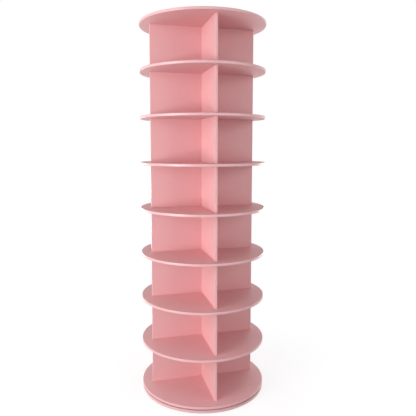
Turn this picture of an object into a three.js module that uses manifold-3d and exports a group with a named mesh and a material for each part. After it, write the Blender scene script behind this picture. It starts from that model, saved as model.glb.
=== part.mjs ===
// Rotating shoe tower: round shelf boards stacked on crosses of divider panels,
// which turn on a ball bearing over a round base board.
// Millimetres, +Z up. The origin is on the floor, under the middle of the base.
// The divider panels stand along X and along Y, and the front is towards -Y.
import * as THREE from 'three';
import { mergeVertices } from 'three/addons/utils/BufferGeometryUtils.js';
import Module from 'manifold-3d';

const wasm = await Module();
wasm.setup();

// Round boards
const boardDiameter = 610; // every shelf board and the base board
const shelfThickness = 12;
const baseThickness = 12;

// Tiers and their crosses of divider panels
const tierCount = 8;
const bayHeight = 208; // clear height between two shelf boards
const dividerThickness = 12;
const dividerReach = 258; // from the axis to a panel's outer edge

// Dowels, glued into a panel's edges and standing in blind holes of the boards
const dowelDiameter = 6;
const holeFloor = 2.5; // board left past a blind hole
const lowerDowelShare = 0.78; // places along a panel's reach, chosen so that the
const upperDowelShare = 0.46; // holes in a board's two faces miss each other

// Bearing between the base board and the bottom shelf
const turnGap = 5; // the gap that shows between the two boards
const raceRadius = 66;
const ballDiameter = 6;
const ballCount = 14;
const plateThickness = 2;
const grooveDepth = 1;
const plateLand = 9; // from the race to a plate's near edge
const screwFlange = 12; // past the other plate's edge, for the screws
const cageWidth = 8;
const cageThickness = 1;
const recessMargin = 2; // round the lower plate in its recess
const bearingTurn = Math.PI / 4; // the screws lie between the divider panels

// Screws of the bearing plates
const screwCount = 4;
const screwDiameter = 3.8;
const screwHeadDiameter = 7;
const screwHeadHeight = 2;
const screwCrownShare = 0.72; // the flat end of a head, of its width
const screwRimShare = 0.4; // where a head starts to round, of its height

// Rubber pads under the base
const padCount = 6;
const padDiameter = 40;
const padThickness = 3;
const padInset = 40; // from the base's edge to a pad's middle
const padChamfer = 0.8;

// Clearances
const seatGap = 0.3; // between two faces that rest on each other
const slotGap = 0.3; // on each side of a panel in its slot
const holeGap = 0.3; // round a dowel or a screw in its hole
const endGap = 0.5; // past the end of a dowel or a screw
const ballGap = 0.3; // between a ball and its groove
const overrun = 1; // how far a cut runs past the face it opens

// Steps round a circle
const boardSides = 72;
const plateSides = 48;
const padSides = 24;
const screwSides = 12;
const dowelSides = 8;
const ballSides = 8;
const ballRings = 5;
const grooveSteps = 4;

// Heights of the stack, from the floor up
const baseBottom = padThickness + seatGap;
const baseTop = baseBottom + baseThickness;
const bottomShelfBottom = baseTop + turnGap;
const tierPitch = bayHeight + shelfThickness;
const panelHeight = bayHeight - 2 * seatGap;

// Dowels and their holes
const holeDepth = shelfThickness - holeFloor;
const holeFill = holeDepth - endGap; // how far a dowel or a screw goes in
const dowelStandOut = seatGap + holeFill;

// Bearing: its stack hangs from the bottom shelf, and what is deeper than the
// gap between the boards lies in the base's recess
const ballRadius = ballDiameter / 2;
const grooveRadius = ballRadius + ballGap;
const ballLift = grooveRadius - grooveDepth; // from a plate's face to the balls' middle
const upperPlateTop = bottomShelfBottom - seatGap;
const upperPlateFace = upperPlateTop - plateThickness;
const ballCentre = upperPlateFace - ballLift;
const lowerPlateFace = ballCentre - ballLift;
const recessFloor = lowerPlateFace - plateThickness - seatGap;
const counterboreDepth = screwHeadHeight + endGap;

// The lower plate's flange lies outside the upper plate, and the upper plate's
// flange inside the lower one, so each set of screws can be reached
const lowerPlateInner = raceRadius - plateLand;
const upperPlateOuter = raceRadius + plateLand;
const lowerPlateOuter = upperPlateOuter + screwFlange;
const upperPlateInner = lowerPlateInner - screwFlange;
const lowerScrewCircle = upperPlateOuter + screwFlange / 2;
const upperScrewCircle = lowerPlateInner - screwFlange / 2;

const pinkPaint = new THREE.MeshStandardMaterial({ color: 0xeeabaf, roughness: 0.45, metalness: 0 });
const zincSteel = new THREE.MeshStandardMaterial({ color: 0xb9bcc0, roughness: 0.35, metalness: 1 });
const ballSteel = new THREE.MeshStandardMaterial({ color: 0xcfd2d6, roughness: 0.2, metalness: 1 });
const blackRubber = new THREE.MeshStandardMaterial({ color: 0x2b2b2d, roughness: 0.9, metalness: 0 });

const tower = new THREE.Group();

// Turns a closed three.js geometry into a solid that can be joined and cut
function toSolid(geometry) {
  const bare = geometry.clone();
  bare.deleteAttribute('normal');
  bare.deleteAttribute('uv');
  const welded = mergeVertices(bare);
  const mesh = new wasm.Mesh({
    numProp: 3,
    vertProperties: welded.attributes.position.array,
    triVerts: welded.index.array,
  });
  return new wasm.Manifold(mesh);
}

// Joins and then cuts a geometry, and gives a geometry back
function shaped(blank, joined, cuts) {
  let solid = toSolid(blank);
  for (const piece of joined) {
    solid = solid.add(toSolid(piece));
  }
  for (const cut of cuts) {
    solid = solid.subtract(toSolid(cut));
  }
  const mesh = solid.getMesh();
  const geometry = new THREE.BufferGeometry();
  geometry.setAttribute('position', new THREE.BufferAttribute(mesh.vertProperties, 3));
  geometry.setIndex(new THREE.BufferAttribute(mesh.triVerts, 1));
  geometry.computeVertexNormals();
  return geometry;
}

// An upright cylinder from one height to another
function post(radius, bottom, top, sides, x = 0, y = 0) {
  const geometry = new THREE.CylinderGeometry(radius, radius, top - bottom, sides);
  geometry.rotateX(Math.PI / 2);
  geometry.translate(x, y, (bottom + top) / 2);
  return geometry;
}

// A shape turned about Z, from an outline of radius and height pairs. It starts
// and ends on the axis, or else it is a ring and closes on its first point.
function turned(outline, sides) {
  const points = outline.map(([radius, height]) => new THREE.Vector2(radius, height));
  if (points[0].x > 0) {
    points.push(points[0]);
  }
  const geometry = new THREE.LatheGeometry(points, sides);
  geometry.rotateX(Math.PI / 2);
  return geometry;
}

// Evenly spaced places on a circle
function ringPlaces(count, radius, firstAngle) {
  return Array.from({ length: count }, (_, i) => {
    const angle = firstAngle + (i * 2 * Math.PI) / count;
    return [radius * Math.cos(angle), radius * Math.sin(angle)];
  });
}

function place(name, geometry, material, height) {
  const mesh = new THREE.Mesh(geometry, material);
  mesh.name = name;
  mesh.position.z = height;
  tower.add(mesh);
  return mesh;
}

// Blind holes for dowels, at the four arms of a cross. Holes in the top face
// take the panels above, and holes in the underside take the panels below.
function dowelHoles(share, bottom, top) {
  const radius = dowelDiameter / 2 + holeGap;
  const out = share * dividerReach;
  const places = [[out, 0], [0, out], [-out, 0], [0, -out]];
  return places.map(([x, y]) => post(radius, bottom, top, dowelSides, x, y));
}

// A round shelf board with its underside at zero
function shelfBoard(hasTierBelow, hasTierAbove, otherCuts = []) {
  const cuts = [...otherCuts];
  if (hasTierBelow) {
    cuts.push(...dowelHoles(upperDowelShare, -overrun, holeDepth));
  }
  if (hasTierAbove) {
    cuts.push(...dowelHoles(lowerDowelShare, holeFloor, shelfThickness + overrun));
  }
  return shaped(post(boardDiameter / 2, 0, shelfThickness, boardSides), [], cuts);
}

// A divider panel along X with its lower edge at zero. The slot at its middle
// runs from mid height to the upper or the lower edge.
function dividerPanel(slotOpensUp) {
  const blank = new THREE.BoxGeometry(2 * dividerReach, dividerThickness, panelHeight);
  blank.translate(0, 0, panelHeight / 2);
  const radius = dowelDiameter / 2;
  const glued = dowelDiameter; // how deep a dowel is glued into the edge
  const top = panelHeight + dowelStandOut;
  const dowels = [];
  for (const side of [-1, 1]) {
    const lowerX = side * lowerDowelShare * dividerReach;
    const upperX = side * upperDowelShare * dividerReach;
    dowels.push(post(radius, -dowelStandOut, glued, dowelSides, lowerX));
    dowels.push(post(radius, panelHeight - glued, top, dowelSides, upperX));
  }
  const slotWidth = dividerThickness + 2 * slotGap;
  const slotDepth = (panelHeight + seatGap) / 2 + overrun;
  const slot = new THREE.BoxGeometry(slotWidth, dividerThickness + 2 * overrun, slotDepth);
  const fromMiddle = (slotDepth - seatGap) / 2;
  slot.translate(0, 0, panelHeight / 2 + (slotOpensUp ? fromMiddle : -fromMiddle));
  return shaped(blank, dowels, [slot]);
}

// A screw turned about Z, head down, with the underside of its head at zero
function screw(shankLength) {
  const head = screwHeadDiameter / 2;
  const shank = screwDiameter / 2;
  return turned([
    [0, -screwHeadHeight],
    [head * screwCrownShare, -screwHeadHeight],
    [head, -screwHeadHeight * screwRimShare],
    [head, 0],
    [shank, 0],
    [shank, shankLength - shank],
    [0, shankLength],
  ], screwSides);
}

// A flat steel ring with a ball groove in its upper face, at zero
function groovedPlate(inner, outer) {
  const halfAngle = Math.acos(ballLift / grooveRadius);
  const groove = [];
  for (let i = 0; i <= grooveSteps; i += 1) {
    const angle = halfAngle * (1 - (2 * i) / grooveSteps);
    groove.push([raceRadius + grooveRadius * Math.sin(angle), ballLift - grooveRadius * Math.cos(angle)]);
  }
  const back = -plateThickness;
  return turned([[inner, back], [outer, back], [outer, 0], ...groove, [inner, 0]], plateSides);
}

// Base: the board with its recess and screw holes, and the pads under it
function addBase() {
  const recessRadius = lowerPlateOuter + recessMargin;
  const headHole = screwHeadDiameter / 2 + holeGap;
  const shankHole = screwDiameter / 2 + holeGap;
  const cuts = [post(recessRadius, recessFloor - baseBottom, baseThickness + overrun, plateSides)];
  for (const [x, y] of ringPlaces(screwCount, lowerScrewCircle, bearingTurn)) {
    cuts.push(post(headHole, -overrun, counterboreDepth, screwSides, x, y));
    cuts.push(post(shankHole, 0, baseThickness, screwSides, x, y));
  }
  const board = shaped(post(boardDiameter / 2, 0, baseThickness, boardSides), [], cuts);
  place('base_board', board, pinkPaint, baseBottom);

  const pad = turned([
    [0, 0],
    [padDiameter / 2 - padChamfer, 0],
    [padDiameter / 2, padChamfer],
    [padDiameter / 2, padThickness],
    [0, padThickness],
  ], padSides);
  ringPlaces(padCount, boardDiameter / 2 - padInset, Math.PI / padCount).forEach(([x, y], i) => {
    const mesh = place(`foot_pad_${i + 1}`, pad, blackRubber, 0);
    mesh.position.x = x;
    mesh.position.y = y;
  });
}

// Bearing: two grooved plates, the ring of balls between them, and the screws
function addBearing() {
  const plateHole = screwDiameter / 2 + holeGap;
  const cutReach = plateThickness + overrun;
  const holesAt = (circle) => ringPlaces(screwCount, circle, bearingTurn).map(([x, y]) => (
    post(plateHole, -cutReach, cutReach, screwSides, x, y)));

  const lowerPlate = shaped(groovedPlate(lowerPlateInner, lowerPlateOuter), [], holesAt(lowerScrewCircle));
  place('lower_bearing_plate', lowerPlate, zincSteel, lowerPlateFace);

  const upperBlank = groovedPlate(upperPlateInner, upperPlateOuter).rotateX(Math.PI);
  const upperPlate = shaped(upperBlank, [], holesAt(upperScrewCircle));
  place('upper_bearing_plate', upperPlate, zincSteel, upperPlateFace);

  const halfCage = cageThickness / 2;
  const cage = turned([
    [raceRadius - cageWidth / 2, -halfCage],
    [raceRadius + cageWidth / 2, -halfCage],
    [raceRadius + cageWidth / 2, halfCage],
    [raceRadius - cageWidth / 2, halfCage],
  ], plateSides);
  const balls = ringPlaces(ballCount, raceRadius, 0).map(([x, y]) => (
    new THREE.SphereGeometry(ballRadius, ballSides, ballRings).translate(x, y, 0)));
  place('ball_ring', shaped(cage, balls, []), ballSteel, ballCentre);

  const lowerHeadSeat = baseBottom + counterboreDepth - seatGap;
  const lowerShank = lowerPlateFace - seatGap - lowerHeadSeat;
  const upperHeadSeat = upperPlateFace - seatGap;
  const upperShank = bottomShelfBottom + holeFill - upperHeadSeat;
  const sets = [
    ['lower_bearing_screw', lowerScrewCircle, lowerHeadSeat, lowerShank],
    ['upper_bearing_screw', upperScrewCircle, upperHeadSeat, upperShank],
  ];
  for (const [name, circle, seat, shankLength] of sets) {
    const geometry = screw(shankLength);
    ringPlaces(screwCount, circle, bearingTurn).forEach(([x, y], i) => {
      const mesh = place(`${name}_${i + 1}`, geometry, zincSteel, seat);
      mesh.position.x = x;
      mesh.position.y = y;
    });
  }
}

// Tower: the boards from the bottom shelf to the top board, and the crosses
function addTower() {
  const pilot = screwDiameter / 2 + holeGap;
  const pilotHoles = ringPlaces(screwCount, upperScrewCircle, bearingTurn).map(([x, y]) => (
    post(pilot, -overrun, holeDepth, screwSides, x, y)));
  place('bottom_shelf', shelfBoard(false, true, pilotHoles), pinkPaint, bottomShelfBottom);

  const middleShelf = shelfBoard(true, true);
  for (let tier = 2; tier <= tierCount; tier += 1) {
    place(`shelf_${tier}`, middleShelf, pinkPaint, bottomShelfBottom + (tier - 1) * tierPitch);
  }
  place('top_board', shelfBoard(true, false), pinkPaint, bottomShelfBottom + tierCount * tierPitch);

  const lowerHalf = dividerPanel(true);
  const upperHalf = dividerPanel(false);
  for (let tier = 1; tier <= tierCount; tier += 1) {
    const panelBottom = bottomShelfBottom + (tier - 1) * tierPitch + shelfThickness + seatGap;
    place(`tier_${tier}_divider_left_right`, lowerHalf, pinkPaint, panelBottom);
    const crossing = place(`tier_${tier}_divider_front_back`, upperHalf, pinkPaint, panelBottom);
    crossing.rotation.z = Math.PI / 2;
  }
}

addBase();
addBearing();
addTower();

export default tower;
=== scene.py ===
import math

import bmesh
import bpy
from mathutils import Matrix, Vector


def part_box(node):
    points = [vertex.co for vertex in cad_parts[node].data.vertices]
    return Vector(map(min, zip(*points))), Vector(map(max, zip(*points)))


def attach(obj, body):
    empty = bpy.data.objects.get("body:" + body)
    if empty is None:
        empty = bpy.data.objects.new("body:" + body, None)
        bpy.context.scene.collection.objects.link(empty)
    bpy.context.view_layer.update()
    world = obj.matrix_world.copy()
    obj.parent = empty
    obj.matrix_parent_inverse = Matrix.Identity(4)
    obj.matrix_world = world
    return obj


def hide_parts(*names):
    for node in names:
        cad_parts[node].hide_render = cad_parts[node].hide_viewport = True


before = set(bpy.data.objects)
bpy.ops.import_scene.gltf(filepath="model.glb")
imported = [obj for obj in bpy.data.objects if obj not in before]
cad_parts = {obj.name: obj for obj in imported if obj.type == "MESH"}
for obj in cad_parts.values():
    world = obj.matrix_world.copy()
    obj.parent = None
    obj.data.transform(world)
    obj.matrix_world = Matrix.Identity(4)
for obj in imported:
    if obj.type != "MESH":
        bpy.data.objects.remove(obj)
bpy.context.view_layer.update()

# Rotating shoe tower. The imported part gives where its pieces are, in metres.
scene = bpy.context.scene
mm = 0.001
tierCount = sum(1 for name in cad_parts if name.endswith("_divider_left_right"))
nodeGrid = {"columns": 9, "across": 210, "down": 320}  # how a tree's nodes are laid out


# Turns an sRGB colour, written as hex, to the linear one that a node takes
def linearColour(hexText):
    channels = [int(hexText[i:i + 2], 16) / 255 for i in (0, 2, 4)]
    return [c / 12.92 if c <= 0.04045 else ((c + 0.055) / 1.055) ** 2.4 for c in channels] + [1.0]


# Adds a node: its settings first, then its inputs as values or as links
def addNode(tree, kind, inputs=None, **settings):
    node = tree.nodes.new(kind)
    row, column = divmod(len(tree.nodes), nodeGrid["columns"])
    node.location = (nodeGrid["across"] * column, -nodeGrid["down"] * row)
    for name, value in settings.items():
        setattr(node, name, value)
    for name, value in (inputs or {}).items():
        if isinstance(value, bpy.types.NodeSocket):
            tree.links.new(value, node.inputs[name])
        else:
            node.inputs[name].default_value = value
    return node


# Camera

cameraSetup = {
    "azimuth": -13.7,  # degrees round the tower from the front, towards the left
    "distance": 2.307,
    "height": 1.206,
    "pitch": 5.3,  # degrees below level
    "lens": 40.2,
    "sensorWidth": 36,
    "shift": (0.013, -0.0433),
}


def makeCamera(setup):
    data = bpy.data.cameras.new("towerCamera")
    data.sensor_width = setup["sensorWidth"]
    data.lens = setup["lens"]
    data.shift_x, data.shift_y = setup["shift"]
    camera = bpy.data.objects.new("towerCamera", data)
    scene.collection.objects.link(camera)
    turnBy, pitch = math.radians(setup["azimuth"]), math.radians(setup["pitch"])
    outwards = Vector((math.sin(turnBy), -math.cos(turnBy), 0))
    camera.location = outwards * setup["distance"] + Vector((0, 0, setup["height"]))
    towards = -outwards * math.cos(pitch) - Vector((0, 0, math.sin(pitch)))
    camera.rotation_euler = towards.to_track_quat("-Z", "Y").to_euler()
    scene.camera = camera


makeCamera(cameraSetup)
print("camera is set")

# Materials


def newMaterial(name):
    material = bpy.data.materials.new(name)
    material.use_nodes = True
    tree = material.node_tree
    tree.nodes.clear()
    return material, tree


# Fibreboard sprayed with a satin polyurethane lacquer, flatted and sprayed again.
# The eye gets an even soft pink with a low broad sheen, a film that is a shade
# thinner here and there, and a very slight orange peel where light grazes it.
lacquerFinish = {
    "tint": "E3ACAE",
    "thinTint": "E6B0B2",
    "cloudSize": 160 * mm,  # across one patch of thicker or thinner film
    "cloudDetail": 3.0,
    "cloudSpan": (0.3, 0.7),  # the part of the clouds that the roughness follows
    "roughness": (0.46, 0.54),
    "peelSize": 7 * mm,  # really 1 to 2 mm, too fine to show, so it is drawn coarser
    "peelDetail": 2.0,
    "peelRoughness": 0.45,
    "peelDepth": 0.07 * mm,
    "ior": 1.5,
}

# The same lacquer on the cut edges of the fibreboard. The edge drinks the first
# coats, so it gets one coat more and is rubbed down between them. The eye gets
# a crisper sheen along the rim and a faint trace of the fibres. Its paler pink is
# partly the edge's own colour and partly a painted highlight along the rims.
edgeFinishAndPaintedHighlight = {
    **lacquerFinish,
    # paler than the faces: partly the edge's own colour, partly a painted highlight along the rims and cut
    # edges
    "tint": "E7B4B6",
    "thinTint": "EBBABC",
    "cloudSize": 60 * mm,
    "roughness": (0.30, 0.38),
    "peelSize": 4 * mm,  # the fibres are 0.3 mm, drawn coarser so that they show
    "peelDepth": 0.04 * mm,
}


def paintedBoard(name, finish):
    material, tree = newMaterial(name)
    place = addNode(tree, "ShaderNodeTexCoord")
    clouds = addNode(tree, "ShaderNodeTexNoise", {
        "Vector": place.outputs["Object"], "Scale": 1 / finish["cloudSize"],
        "Detail": finish["cloudDetail"]})
    film = addNode(tree, "ShaderNodeMix", {
        "Factor": clouds.outputs["Fac"], "A": linearColour(finish["tint"]),
        "B": linearColour(finish["thinTint"])}, data_type="RGBA")
    low, high = finish["cloudSpan"]
    smooth, rough = finish["roughness"]
    sheen = addNode(tree, "ShaderNodeMapRange", {
        "Value": clouds.outputs["Fac"], "From Min": low, "From Max": high, "To Min": smooth, "To Max": rough})
    peel = addNode(tree, "ShaderNodeTexNoise", {
        "Vector": place.outputs["Object"], "Scale": 1 / finish["peelSize"],
        "Detail": finish["peelDetail"], "Roughness": finish["peelRoughness"]})
    bump = addNode(tree, "ShaderNodeBump", {"Height": peel.outputs["Fac"], "Distance": finish["peelDepth"]})
    paint = addNode(tree, "ShaderNodeBsdfPrincipled", {
        "Base Color": film.outputs["Result"], "Roughness": sheen.outputs["Result"],
        "IOR": finish["ior"], "Normal": bump.outputs["Normal"]})
    addNode(tree, "ShaderNodeOutputMaterial", {"Surface": paint.outputs["BSDF"]})
    return material


satinLacquer = paintedBoard("satin_pink_lacquer", lacquerFinish)
# the cut edges' paler pink is partly a painted highlight
lacqueredEdgeAndPaintedHighlight = paintedBoard("lacquered_edge_and_painted_highlight", edgeFinishAndPaintedHighlight)

# Sheet steel galvanised in a hot bath and then pressed to shape. The eye gets a
# cool grey with zinc crystals that each turn the light their own way.
plateFinish = {"light": "C4C8CC", "dark": "9EA3A9", "patchSize": 5 * mm, "roughness": (0.28, 0.42)}

# Steel wire, headed and rolled, then zinc plated in a barrel. The eye gets a
# bright metal with small dull marks where the screws knocked together.
screwFinish = {"light": "CFD3D6", "dark": "B4B9BE", "patchSize": 1.2 * mm, "roughness": (0.18, 0.34)}

# Hardened bearing steel, ground and polished. The eye gets nearly a mirror, in a
# light cool grey.
ballFinish = {"light": "D6D8DA", "dark": "C2C5C8", "patchSize": 6 * mm, "roughness": (0.08, 0.14)}


# Bare metal whose patches differ a little in grey and in polish
def patchedMetal(name, finish):
    material, tree = newMaterial(name)
    place = addNode(tree, "ShaderNodeTexCoord")
    patches = addNode(tree, "ShaderNodeTexVoronoi", {
        "Vector": place.outputs["Object"], "Scale": 1 / finish["patchSize"]})
    shade = addNode(tree, "ShaderNodeSeparateColor", {"Color": patches.outputs["Color"]})
    grey = addNode(tree, "ShaderNodeMix", {
        "Factor": shade.outputs["Red"], "A": linearColour(finish["dark"]),
        "B": linearColour(finish["light"])}, data_type="RGBA")
    smooth, rough = finish["roughness"]
    polish = addNode(tree, "ShaderNodeMapRange", {
        "Value": shade.outputs["Green"], "To Min": smooth, "To Max": rough})
    metal = addNode(tree, "ShaderNodeBsdfPrincipled", {
        "Base Color": grey.outputs["Result"], "Metallic": 1.0, "Roughness": polish.outputs["Result"]})
    addNode(tree, "ShaderNodeOutputMaterial", {"Surface": metal.outputs["BSDF"]})
    return material


plateSteel = patchedMetal("galvanised_sheet_steel", plateFinish)
screwSteel = patchedMetal("zinc_plated_screw_steel", screwFinish)
ballSteel = patchedMetal("polished_bearing_steel", ballFinish)

# Black rubber, moulded in a sandblasted tool. The eye gets a dull charcoal with a
# fine even grain, and paler dust in the grain.
rubberFinish = {
    "tint": "2A2A2C",
    "dust": "48474A",
    "grainSize": 1.2 * mm,
    "grainDetail": 4.0,
    "grainDepth": 0.1 * mm,
    "roughness": 0.85,
    "ior": 1.5,
}


def mouldedRubber(name, finish):
    material, tree = newMaterial(name)
    place = addNode(tree, "ShaderNodeTexCoord")
    grain = addNode(tree, "ShaderNodeTexNoise", {
        "Vector": place.outputs["Object"], "Scale": 1 / finish["grainSize"],
        "Detail": finish["grainDetail"]})
    colour = addNode(tree, "ShaderNodeMix", {
        "Factor": grain.outputs["Fac"], "A": linearColour(finish["tint"]),
        "B": linearColour(finish["dust"])}, data_type="RGBA")
    bump = addNode(tree, "ShaderNodeBump", {"Height": grain.outputs["Fac"], "Distance": finish["grainDepth"]})
    rubber = addNode(tree, "ShaderNodeBsdfPrincipled", {
        "Base Color": colour.outputs["Result"], "Roughness": finish["roughness"],
        "IOR": finish["ior"], "Normal": bump.outputs["Normal"]})
    addNode(tree, "ShaderNodeOutputMaterial", {"Surface": rubber.outputs["BSDF"]})
    return material


padRubber = mouldedRubber("black_moulded_rubber", rubberFinish)
print("materials are made")

# Meshes

meshing = {
    "weld": 0.001 * mm,  # points closer than this are one
    "sliver": 0.0001 * mm,  # edges shorter than this are taken out
    "sharpAngle": 35,  # degrees, from which an edge stays crisp
    "facing": 0.5,  # how far a face's normal leans one way for it to face that way
}


def near(a, b):
    return abs(a - b) < meshing["weld"]


def meshObject(name, mesh):
    made = bpy.data.objects.new(name, mesh)
    scene.collection.objects.link(made)
    return made


# Turns a bmesh into an object with a plain mesh
def finishedObject(name, work):
    mesh = bpy.data.meshes.new(name)
    work.to_mesh(mesh)
    work.free()
    return meshObject(name, mesh)


def smoothMesh(mesh):
    mesh.shade_smooth()
    mesh.set_sharp_from_angle(angle=math.radians(meshing["sharpAngle"]))


def cleanMesh(mesh):
    work = bmesh.new()
    work.from_mesh(mesh)
    bmesh.ops.remove_doubles(work, verts=work.verts, dist=meshing["weld"])
    bmesh.ops.dissolve_degenerate(work, edges=work.edges, dist=meshing["sliver"])
    bmesh.ops.recalc_face_normals(work, faces=work.faces)
    work.to_mesh(mesh)
    work.free()
    smoothMesh(mesh)


# Keeps what a modifier makes as the piece's own plain mesh
def keepResult(piece, modifier):
    bpy.context.view_layer.update()
    evaluated = piece.evaluated_get(bpy.context.evaluated_depsgraph_get())
    mesh = bpy.data.meshes.new_from_object(evaluated)
    piece.modifiers.remove(modifier)
    piece.data = mesh


# Runs a tree on an empty mesh and keeps what it makes
def growPiece(name, tree, values):
    piece = meshObject(name, bpy.data.meshes.new(name))
    modifier = piece.modifiers.new(tree.name, "NODES")
    modifier.node_group = tree
    for item in tree.interface.items_tree:
        if item.item_type == "SOCKET" and item.in_out == "INPUT" and item.name in values:
            modifier[item.identifier] = values[item.name]
    keepResult(piece, modifier)
    return piece


# Cuts one object out of another and takes the cutter away
def cutAway(piece, cutter, cutterCrossesItself=False):
    cut = piece.modifiers.new("cut", "BOOLEAN")
    cut.operation = "DIFFERENCE"
    cut.solver = "EXACT"
    cut.use_self = cutterCrossesItself
    cut.object = cutter
    keepResult(piece, cut)
    bpy.data.objects.remove(cutter)
    cleanMesh(piece.data)


# Gives the board's faces the lacquer, and its cut edges the edge's paler lacquer, whose paler pink is partly
# a painted highlight
def paintBoard(mesh, isEdge):
    mesh.materials.clear()
    mesh.materials.append(satinLacquer)
    mesh.materials.append(lacqueredEdgeAndPaintedHighlight)
    for face in mesh.polygons:
        face.material_index = 1 if isEdge(face) else 0


def looksSideways(face):
    return abs(face.normal.z) < meshing["facing"]


def settle(piece, body, slotName, *nodes):
    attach(piece, body)
    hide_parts(*nodes)


# The nodes of one kind that stand evenly on a circle, and what that circle is
def circleOf(prefix):
    names = sorted(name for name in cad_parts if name.startswith(prefix))
    low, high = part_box(names[0])
    centre = (low + high) / 2
    return {
        "nodes": names,
        "bottom": low.z,
        "top": high.z,
        "partRadius": (high.x - low.x) / 2,
        "radius": math.hypot(centre.x, centre.y),
        "angle": math.atan2(centre.y, centre.x),
    }


# Geometry node trees


def newTree(name, inputs):
    tree = bpy.data.node_groups.new(name, "GeometryNodeTree")
    for socketName, kind, default in inputs:
        socket = tree.interface.new_socket(socketName, in_out="INPUT", socket_type=kind)
        if default is not None:
            socket.default_value = default
    tree.interface.new_socket("Geometry", in_out="OUTPUT", socket_type="NodeSocketGeometry")
    return tree, addNode(tree, "NodeGroupInput").outputs


def endTree(tree, geometry, material):
    real = addNode(tree, "GeometryNodeRealizeInstances", {"Geometry": geometry})
    painted = addNode(tree, "GeometryNodeSetMaterial", {"Geometry": real.outputs[0], "Material": material})
    addNode(tree, "NodeGroupOutput", {"Geometry": painted.outputs[0]})


# Turns an outline of radius and height round Z, with its corners rounded
def turningTree():
    tree, given = newTree("turnedPiece", [
        ("Outline", "NodeSocketObject", None),
        ("Widest Radius", "NodeSocketFloat", 0.1),
        ("Corner Radius", "NodeSocketFloat", 0.001),
        ("Corner Steps", "NodeSocketInt", 4),
        ("Sides", "NodeSocketInt", 128),
        ("Material", "NodeSocketMaterial", None)])
    outline = addNode(tree, "GeometryNodeObjectInfo", {"Object": given["Outline"]})
    line = addNode(tree, "GeometryNodeMeshToCurve", {"Mesh": outline.outputs["Geometry"]})
    rounded = addNode(tree, "GeometryNodeFilletCurve", {
        "Curve": line.outputs[0], "Count": given["Corner Steps"],
        "Radius": given["Corner Radius"], "Limit Radius": True}, mode="POLY")
    inwards = addNode(tree, "ShaderNodeMath", {0: given["Widest Radius"], 1: -1.0}, operation="MULTIPLY")
    offset = addNode(tree, "ShaderNodeCombineXYZ", {"X": inwards.outputs[0]})
    section = addNode(tree, "GeometryNodeTransform", {
        "Geometry": rounded.outputs[0], "Translation": offset.outputs[0],
        "Scale": (1, -1, 1)})  # the sweep takes an outline's second axis downwards
    path = addNode(tree, "GeometryNodeCurvePrimitiveCircle", {
        "Resolution": given["Sides"], "Radius": given["Widest Radius"]})
    swept = addNode(tree, "GeometryNodeCurveToMesh", {
        "Curve": path.outputs["Curve"], "Profile Curve": section.outputs[0]})
    closed = addNode(tree, "GeometryNodeMergeByDistance", {
        "Geometry": swept.outputs[0], "Distance": meshing["weld"]})
    endTree(tree, closed.outputs[0], given["Material"])
    return tree


# Sets copies of one part evenly on a circle, each turned to face outwards
def ringTree():
    tree, given = newTree("partsOnCircle", [
        ("Part", "NodeSocketObject", None),
        ("Count", "NodeSocketInt", 4),
        ("Circle Radius", "NodeSocketFloat", 0.1),
        ("First Angle", "NodeSocketFloat", 0.0),
        ("Height", "NodeSocketFloat", 0.0),
        ("Material", "NodeSocketMaterial", None)])
    part = addNode(tree, "GeometryNodeObjectInfo", {"Object": given["Part"]})
    circle = addNode(tree, "GeometryNodeMeshCircle", {
        "Vertices": given["Count"], "Radius": given["Circle Radius"]})
    up = addNode(tree, "ShaderNodeCombineXYZ", {"Z": given["Height"]})
    turned = addNode(tree, "ShaderNodeCombineXYZ", {"Z": given["First Angle"]})
    placed = addNode(tree, "GeometryNodeTransform", {
        "Geometry": circle.outputs[0], "Translation": up.outputs[0], "Rotation": turned.outputs[0]})
    where = addNode(tree, "GeometryNodeInputPosition")
    spread = addNode(tree, "ShaderNodeSeparateXYZ", {0: where.outputs[0]})
    facing = addNode(tree, "ShaderNodeMath", {
        0: spread.outputs["Y"], 1: spread.outputs["X"]}, operation="ARCTAN2")
    spin = addNode(tree, "ShaderNodeCombineXYZ", {"Z": facing.outputs[0]})
    copies = addNode(tree, "GeometryNodeInstanceOnPoints", {
        "Points": placed.outputs[0], "Instance": part.outputs["Geometry"], "Rotation": spin.outputs[0]})
    endTree(tree, copies.outputs[0], given["Material"])
    return tree


turnedPiece = turningTree()
partsOnCircle = ringTree()


# Turns a piece from its outline, a line through points of radius and height
def turn(name, outline, material, cornerRadius, sides, closed=False, cornerSteps=4):
    edges = [(i, i + 1) for i in range(len(outline) - 1)]
    if closed:
        edges.append((len(outline) - 1, 0))
    line = bpy.data.meshes.new(name + "Outline")
    line.from_pydata([(r, z, 0) for r, z in outline], edges, [])
    guide = meshObject(name + "Outline", line)
    made = growPiece(name, turnedPiece, {
        "Outline": guide, "Widest Radius": max(r for r, _ in outline), "Corner Radius": cornerRadius,
        "Corner Steps": cornerSteps, "Sides": sides, "Material": material})
    bpy.data.objects.remove(guide)
    cleanMesh(made.data)
    return made


def setOnCircle(name, part, count, radius, firstAngle, height, material):
    made = growPiece(name, partsOnCircle, {
        "Part": part, "Count": count, "Circle Radius": radius, "First Angle": firstAngle,
        "Height": height, "Material": material})
    bpy.data.objects.remove(part)
    cleanMesh(made.data)
    return made


# The same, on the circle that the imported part's own nodes stand on
def setOnNodes(name, part, ring, material):
    return setOnCircle(name, part, len(ring["nodes"]), ring["radius"], ring["angle"], 0.0, material)


print("node trees are made")

# Round boards

boards = {
    "arris": 1.6 * mm,  # sanded off by hand before the paint
    "sides": 256,
}


def makeBoard(node, body):
    low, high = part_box(node)
    board = turn(node + "_painted", [(0, low.z), (high.x, low.z), (high.x, high.z), (0, high.z)],
                 satinLacquer, boards["arris"], boards["sides"])
    paintBoard(board.data, looksSideways)
    settle(board, body, "pink_paint", node)


shelfNodes = ["bottom_shelf"] + [f"shelf_{i}" for i in range(2, tierCount + 1)] + ["top_board"]
for shelfNode in shelfNodes:
    makeBoard(shelfNode, "tower")
print("shelf boards are turned:", len(shelfNodes))

# Crosses of divider panels

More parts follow.
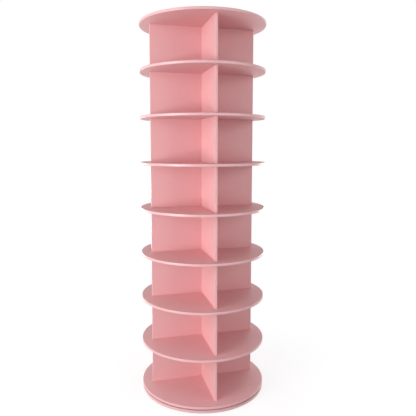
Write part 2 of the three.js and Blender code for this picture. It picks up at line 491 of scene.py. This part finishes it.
panels = {
    "arris": 1.2 * mm,
    "arrisSteps": 3,
    "arrisProfile": 0.5,  # round
    "slotGap": 0.2 * mm,  # on each side of the panel that it crosses
    "seat": 0.1 * mm,  # the panel is pressed this far into the faces it stands between
}


# A panel along X, with a slot from its middle to its upper or lower edge and an
# arris on every outer edge
def slottedPanel(name, reach, thickness, bottom, top, slotOpensUp):
    half = thickness / 2 + panels["slotGap"]
    middle = (bottom + top) / 2
    if slotOpensUp:
        corners = [(-reach, bottom), (reach, bottom), (reach, top), (half, top),
                   (half, middle), (-half, middle), (-half, top), (-reach, top)]
    else:
        corners = [(-reach, bottom), (-half, bottom), (-half, middle), (half, middle),
                   (half, bottom), (reach, bottom), (reach, top), (-reach, top)]
    work = bmesh.new()
    face = work.faces.new([work.verts.new((x, -thickness / 2, z)) for x, z in corners])
    grown = bmesh.ops.extrude_face_region(work, geom=[face])
    moved = [v for v in grown["geom"] if isinstance(v, bmesh.types.BMVert)]
    bmesh.ops.translate(work, verts=moved, vec=(0, thickness, 0))

    def isOuter(edge):
        a, b = (v.co for v in edge.verts)
        upright = near(a.x, b.x) and near(abs(a.x), reach)
        level = near(a.z, b.z) and (near(a.z, bottom) or near(a.z, top))
        return near(a.y, b.y) and (upright or level)

    bmesh.ops.bevel(work, geom=[e for e in work.edges if isOuter(e)], offset=panels["arris"],
                    segments=panels["arrisSteps"], profile=panels["arrisProfile"], affect="EDGES")
    bmesh.ops.recalc_face_normals(work, faces=work.faces)
    return finishedObject(name, work)


def makePanel(node, shelfBelow, shelfAbove, alongX):
    low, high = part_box(node)
    reach, halfThickness = (high.x, high.y) if alongX else (high.y, high.x)
    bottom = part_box(shelfBelow)[1].z - panels["seat"]
    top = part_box(shelfAbove)[0].z + panels["seat"]
    panel = slottedPanel(node + "_painted", reach, halfThickness * 2, bottom, top, alongX)
    if not alongX:
        panel.data.transform(Matrix.Rotation(math.pi / 2, 4, "Z"))
    smoothMesh(panel.data)
    along = Vector((1, 0, 0)) if alongX else Vector((0, 1, 0))
    paintBoard(panel.data, lambda face: abs(face.normal.dot(along)) > meshing["facing"])
    settle(panel, "tower", "pink_paint", node)


for tier in range(1, tierCount + 1):
    below, above = shelfNodes[tier - 1], shelfNodes[tier]
    makePanel(f"tier_{tier}_divider_left_right", below, above, True)
    makePanel(f"tier_{tier}_divider_front_back", below, above, False)
print("divider panels are made:", 2 * tierCount)

# Screws with a pan head and a cross recess, head down

screws = {
    "headHeight": 2 * mm,
    "crownShare": 0.62,  # the flat middle of the head, of its radius
    "shoulderShares": (0.9, 0.2),  # a point on the head's curve, of its radius and height
    "rimShare": 0.45,  # where the head's upright rim starts, of its height
    "recessReach": 1.9 * mm,
    "recessWidth": 1.0 * mm,
    "recessDepth": 1.1 * mm,
    "recessTaper": 0.6,  # how wide the recess is at its floor, of its mouth
    "shankRadius": 1.9 * mm,
    "threadPitch": 1.4 * mm,
    "threadDepth": 0.45 * mm,
    "sides": 32,
}


# From the middle of the head to the tip. The thread is drawn as close rings,
# which look the same at this size.
def screwOutline(headRadius, headBottom, tip):
    height, pitch = screws["headHeight"], screws["threadPitch"]
    acrossShare, upShare = screws["shoulderShares"]
    root = screws["shankRadius"] - screws["threadDepth"]
    headTop = headBottom + height
    points = [
        (0, headBottom),
        (headRadius * screws["crownShare"], headBottom),
        (headRadius * acrossShare, headBottom + height * upShare),
        (headRadius, headBottom + height * screws["rimShare"]),
        (headRadius, headTop),
        (root, headTop)]
    level = headTop + pitch / 2
    while level + pitch < tip - screws["shankRadius"]:
        points += [(root, level), (screws["shankRadius"], level + pitch / 2), (root, level + pitch)]
        level += pitch
    return points + [(0, tip)]


# Two crossed bars that narrow upwards from the underside of the head
def crossRecess(headBottom):
    longSide, shortSide = screws["recessReach"] * 2, screws["recessWidth"]
    work = bmesh.new()
    for alongX, alongY in ((longSide, shortSide), (shortSide, longSide)):
        size = Matrix.Diagonal((alongX, alongY, screws["recessDepth"] * 2, 1))
        bmesh.ops.create_cube(work, size=1.0, matrix=Matrix.Translation((0, 0, headBottom)) @ size)
    for v in work.verts:
        if v.co.z > headBottom:
            v.co.x *= screws["recessTaper"]
            v.co.y *= screws["recessTaper"]
    return finishedObject("crossRecess", work)


def makeScrews(name, prefix, body):
    ring = circleOf(prefix)
    outline = screwOutline(ring["partRadius"], ring["bottom"], ring["top"])
    part = turn(name + "Part", outline, screwSteel, 0.0, screws["sides"])
    cutAway(part, crossRecess(ring["bottom"]), cutterCrossesItself=True)
    made = setOnNodes(name, part, ring, screwSteel)
    settle(made, body, "zinc_steel", *ring["nodes"])


# Base board, with a round recess for the bearing and bored for its screws

base = {
    "plateRoom": 2 * mm,  # round the lower bearing plate
    "gap": 0.3 * mm,  # under that plate, round its screws and over their heads
    "overrun": 1 * mm,  # how far the cutter runs past the underside
    "boreSides": 32,
}


# One cutter for all the holes that the lower plate's screws sit in
def screwHoles(bottom, top):
    ring = circleOf("lower_bearing_screw")
    start = bottom - base["overrun"]
    seat = ring["bottom"] + screws["headHeight"] + base["gap"]
    head, shank = ring["partRadius"] + base["gap"], screws["shankRadius"] + base["gap"]
    hole = turn("screwHole", [(0, start), (head, start), (head, seat), (shank, seat), (shank, top), (0, top)],
                satinLacquer, 0.0, base["boreSides"])
    return setOnNodes("screwHoles", hole, ring, satinLacquer)


def makeBase():
    low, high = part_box("base_board")
    plateLow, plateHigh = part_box("lower_bearing_plate")
    recess = plateHigh.x + base["plateRoom"]
    recessFloor = plateLow.z - base["gap"]
    board = turn("base_board_painted", [
        (0, low.z), (high.x, low.z), (high.x, high.z), (recess, high.z), (recess, recessFloor),
        (0, recessFloor)], satinLacquer, boards["arris"], boards["sides"])
    cutAway(board, screwHoles(low.z, high.z))
    paintBoard(board.data, looksSideways)
    settle(board, "base", "pink_paint", "base_board")


makeBase()
print("base board is turned and bored")

# Rubber pads under the base

pads = {
    "edge": 1.0 * mm,
    "hollow": 0.6 * mm,  # how far the middle of the underside is dished
    "hollowShare": 0.62,  # how wide the dish is, of the pad
    "slope": 1.0 * mm,
    "rounding": 0.35 * mm,
    "sides": 48,
}


def makePads():
    ring = circleOf("foot_pad")
    radius, top, hollow = ring["partRadius"], ring["top"], pads["hollow"]
    dish = radius * pads["hollowShare"]
    pad = turn("footPad", [
        (0, hollow), (dish - pads["slope"], hollow), (dish, 0), (radius - pads["edge"], 0),
        (radius, pads["edge"]), (radius, top), (0, top)], padRubber, pads["rounding"], pads["sides"])
    made = setOnNodes("foot_pads", pad, ring, padRubber)
    settle(made, "base", "pad_rubber", *ring["nodes"])


makePads()
makeScrews("base_screws", "lower_bearing_screw", "base")
makeScrews("shelf_screws", "upper_bearing_screw", "tower")
print("pads and screws are placed")

# Bearing: two pressed plates, and balls in their flat cage between them

bearing = {
    "balls": 14,
    "ballRadius": 3 * mm,
    "ballSides": 24,
    "ballRings": 16,
    "cageWidth": 8 * mm,
    "cageThickness": 1 * mm,
    "cageEdge": 0.3 * mm,
    "cageEdgeSteps": 2,
    "cageSides": 160,
}


def makeBallRing():
    low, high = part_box("ball_ring")
    level = (low.z + high.z) / 2
    half, wall = bearing["cageWidth"] / 2, bearing["cageThickness"] / 2
    race = high.x - half
    inner, outer = race - half, race + half
    cage = turn("ball_cage", [
        (inner, level - wall), (outer, level - wall), (outer, level + wall), (inner, level + wall)],
        plateSteel, bearing["cageEdge"], bearing["cageSides"], closed=True,
        cornerSteps=bearing["cageEdgeSteps"])
    work = bmesh.new()
    bmesh.ops.create_uvsphere(work, u_segments=bearing["ballSides"], v_segments=bearing["ballRings"],
                              radius=bearing["ballRadius"])
    ball = finishedObject("ball", work)
    balls = setOnCircle("ball_ring_balls", ball, bearing["balls"], race, 0.0, level, ballSteel)
    for piece in (cage, balls):
        settle(piece, "ball_ring", "ball_steel", "ball_ring")


makeBallRing()
for plate in ("lower_bearing_plate", "upper_bearing_plate"):
    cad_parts[plate].data.materials.clear()
    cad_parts[plate].data.materials.append(plateSteel)
print("bearing is made")

# Floor, background and light

room = {
    "floorRadius": 6.0,
    "floorSides": 96,
    "clearance": 0.1 * mm,  # under the pads
    "floorColour": "9C9C9C",
    "floorGlow": 0.76,  # what the camera sees on top of the light that falls on the floor
    "fadeFrom": 0.4,  # where the floor starts to pass into the white background
    "fadeTo": 1.3,
    "sky": 0.3,  # light that comes evenly from all round
}


# 1 for the rays that show the white surroundings: straight, in gloss and in glass
def showingRays(tree):
    rays = addNode(tree, "ShaderNodeLightPath")
    seen = addNode(tree, "ShaderNodeMath", {
        0: rays.outputs["Is Camera Ray"], 1: rays.outputs["Is Glossy Ray"]}, operation="MAXIMUM")
    shown = addNode(tree, "ShaderNodeMath", {
        0: seen.outputs[0], 1: rays.outputs["Is Transmission Ray"]}, operation="MAXIMUM")
    return shown.outputs[0]


# Matt studio floor paint. It throws little light up at the tower, and the eye gets
# a white that keeps a soft shadow near the base and fades out further off.
def mattFloor():
    material, tree = newMaterial("matt_white_floor")
    showing = showingRays(tree)
    place = addNode(tree, "ShaderNodeTexCoord")
    distance = addNode(tree, "ShaderNodeVectorMath", {0: place.outputs["Object"]}, operation="LENGTH")
    fade = addNode(tree, "ShaderNodeMapRange", {
        "Value": distance.outputs["Value"], "From Min": room["fadeFrom"], "From Max": room["fadeTo"]},
        interpolation_type="SMOOTHSTEP")
    paint = addNode(tree, "ShaderNodeBsdfDiffuse", {"Color": linearColour(room["floorColour"])})
    glowLevel = addNode(tree, "ShaderNodeMath", {0: showing, 1: room["floorGlow"]}, operation="MULTIPLY")
    glow = addNode(tree, "ShaderNodeEmission", {"Strength": glowLevel.outputs[0]})
    closeBy = addNode(tree, "ShaderNodeAddShader", {0: paint.outputs[0], 1: glow.outputs[0]})
    farOff = addNode(tree, "ShaderNodeEmission", {"Strength": 1.0})
    farShare = addNode(tree, "ShaderNodeMath", {0: fade.outputs["Result"], 1: showing}, operation="MULTIPLY")
    both = addNode(tree, "ShaderNodeMixShader", {
        "Fac": farShare.outputs[0], 1: closeBy.outputs[0], 2: farOff.outputs[0]})
    addNode(tree, "ShaderNodeOutputMaterial", {"Surface": both.outputs[0]})
    return material


def makeFloor():
    work = bmesh.new()
    bmesh.ops.create_circle(work, cap_ends=True, segments=room["floorSides"], radius=room["floorRadius"],
                            matrix=Matrix.Translation((0, 0, -room["clearance"])))
    floor = finishedObject("floor", work)
    floor.data.materials.append(mattFloor())


def makeSky():
    world = bpy.data.worlds.new("whiteStudio")
    scene.world = world
    world.use_nodes = True
    tree = world.node_tree
    tree.nodes.clear()
    level = addNode(tree, "ShaderNodeMapRange", {
        "Value": showingRays(tree), "To Min": room["sky"], "To Max": 1.0})
    light = addNode(tree, "ShaderNodeBackground", {
        "Color": linearColour("FFFFFF"), "Strength": level.outputs["Result"]})
    addNode(tree, "ShaderNodeOutputWorld", {"Surface": light.outputs[0]})


# Soft boxes. An azimuth is in degrees round the tower from the front.
lamps = {
    "key": {"azimuth": -57, "distance": 3.6, "height": 0.78, "size": (1.8, 1.1), "watts": 72},
    "side": {"azimuth": -70, "distance": 3.2, "height": 1.8, "size": (2.4, 1.4), "watts": 36},
    "fillLow": {"azimuth": 45, "distance": 3.2, "height": 0.5, "size": (2.4, 1.4), "watts": 16},
    "fillHigh": {"azimuth": 45, "distance": 3.2, "height": 1.8, "size": (2.4, 1.4), "watts": 23},
    "backRight": {"azimuth": 125, "distance": 3.2, "height": 0.5, "size": (2.4, 1.4), "watts": 56},
    "backLeft": {"azimuth": -150, "distance": 3.2, "height": 0.5, "size": (2.4, 1.4), "watts": 49},
    "top": {"azimuth": 0, "distance": 0.0, "height": 3.2, "size": (0.6, 0.6), "watts": 12},
}
lampAim = Vector((0, 0, 0.9))  # the middle of the tower


def makeLamp(name, lamp):
    turnBy = math.radians(lamp["azimuth"])
    data = bpy.data.lights.new(name + "Light", "AREA")
    data.shape = "RECTANGLE"
    data.size, data.size_y = lamp["size"]
    data.energy = lamp["watts"]
    made = bpy.data.objects.new(name + "Light", data)
    scene.collection.objects.link(made)
    outwards = Vector((math.sin(turnBy), -math.cos(turnBy), 0))
    made.location = outwards * lamp["distance"] + Vector((0, 0, lamp["height"]))
    made.rotation_euler = (lampAim - made.location).to_track_quat("-Z", "Y").to_euler()


makeFloor()
makeSky()
for lampName, lampSetup in lamps.items():
    makeLamp(lampName, lampSetup)
scene.view_settings.view_transform = "Standard"
print("floor and light are set")
